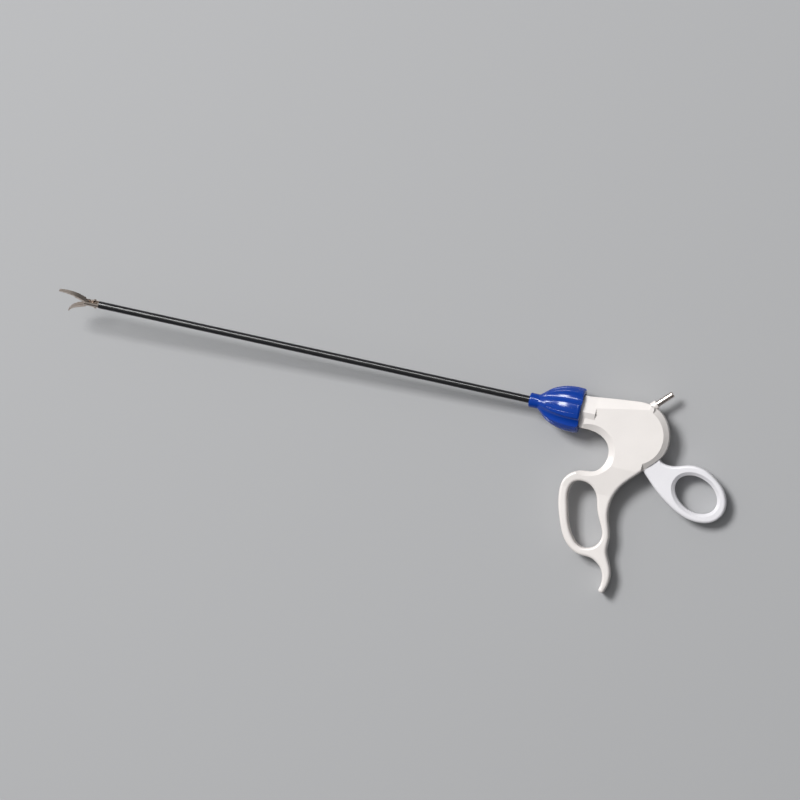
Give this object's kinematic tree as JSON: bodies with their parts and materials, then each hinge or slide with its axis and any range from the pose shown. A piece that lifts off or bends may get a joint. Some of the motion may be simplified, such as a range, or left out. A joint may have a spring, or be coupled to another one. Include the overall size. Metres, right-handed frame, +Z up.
{
  "type": "endoscopic grasping forceps",
  "caption": "Hand-held grasping forceps with ring handle, rotation knob, long thin insulated shaft and curved jaws worked by a thumb lever.",
  "frame": {"origin": "on the shaft's axis at the nose of the rotation knob", "axes": "+X back along the shaft towards the handle, +Y away from the finger loop, +Z up from the table; the shaft's axis slopes up to the jaws by 3.9 degrees and the handle is rolled by 3.4 degrees, as the instrument lies on its knob, thumb ring and finger loop"},
  "size_m": [0.4761, 0.1428, 0.0457],
  "materials": {
    "white_plastic": "satin",
    "lever_plastic": "satin",
    "blue_plastic": "gloss",
    "hub_plastic": "matte",
    "black_sleeve": "gloss",
    "seal_rubber": "matte",
    "steel": "brushed",
    "jaw_steel": "satin",
    "plug_steel": "polished",
    "spring_brass": "satin"
  },
  "bodies": {
    "handle": {"housing_left": "white_plastic", "housing_right": "white_plastic", "lever_pivot_pin": "steel", "connector_pin": "plug_steel", "connector_bush": "white_plastic", "contact_spring": "spring_brass"},
    "lever": {"thumb_lever": "lever_plastic"},
    "shaft": {"rotation_knob": "blue_plastic", "tube_hub": "hub_plastic", "hub_ring": "steel", "shaft_tube": "steel", "insulation_sleeve": "black_sleeve", "rod_seal": "seal_rubber", "jaw_yoke": "jaw_steel", "jaw_pivot_pin": "jaw_steel"},
    "rod": {"pull_rod": "steel", "rod_ball": "steel", "rod_tongue": "jaw_steel", "drive_pin": "jaw_steel"},
    "jaw_upper": {"upper_jaw": "jaw_steel"},
    "jaw_lower": {"lower_jaw": "jaw_steel"}
  },
  "joints": [
    {"name": "knob_spin", "type": "hinge", "parent": "handle", "child": "shaft", "pos_m": [0, 0, 0], "axis": [0.9981, 0.0016, -0.0616], "continuous": true},
    {"name": "lever_swing", "type": "hinge", "parent": "handle", "child": "lever", "pos_m": [0.08183, -0.00785, -0.00547], "axis": [-0.0616, 0.0529, -0.9967], "range_deg": [0, 26]},
    {"name": "rod_slide", "type": "slide", "parent": "shaft", "child": "rod", "axis": [0.9981, 0.0016, -0.0616], "range_m": [0, 0.00369]},
    {"name": "upper_jaw_pivot", "type": "hinge", "parent": "shaft", "child": "jaw_upper", "pos_m": [-0.31141, -0.00051, 0.01921], "axis": [0.0322, -0.8663, 0.4985], "range_deg": [0, 32]},
    {"name": "lower_jaw_pivot", "type": "hinge", "parent": "shaft", "child": "jaw_lower", "pos_m": [-0.31141, -0.00051, 0.01921], "axis": [-0.0322, 0.8663, -0.4985], "range_deg": [0, 32]}
  ],
  "couplings": [
    {"joint": "rod_slide", "follows": "lever_swing", "m_per_rad": 0.0081402},
    {"joint": "upper_jaw_pivot", "follows": "lever_swing", "ratio": 1.2308},
    {"joint": "lower_jaw_pivot", "follows": "lever_swing", "ratio": 1.2308}
  ]
}
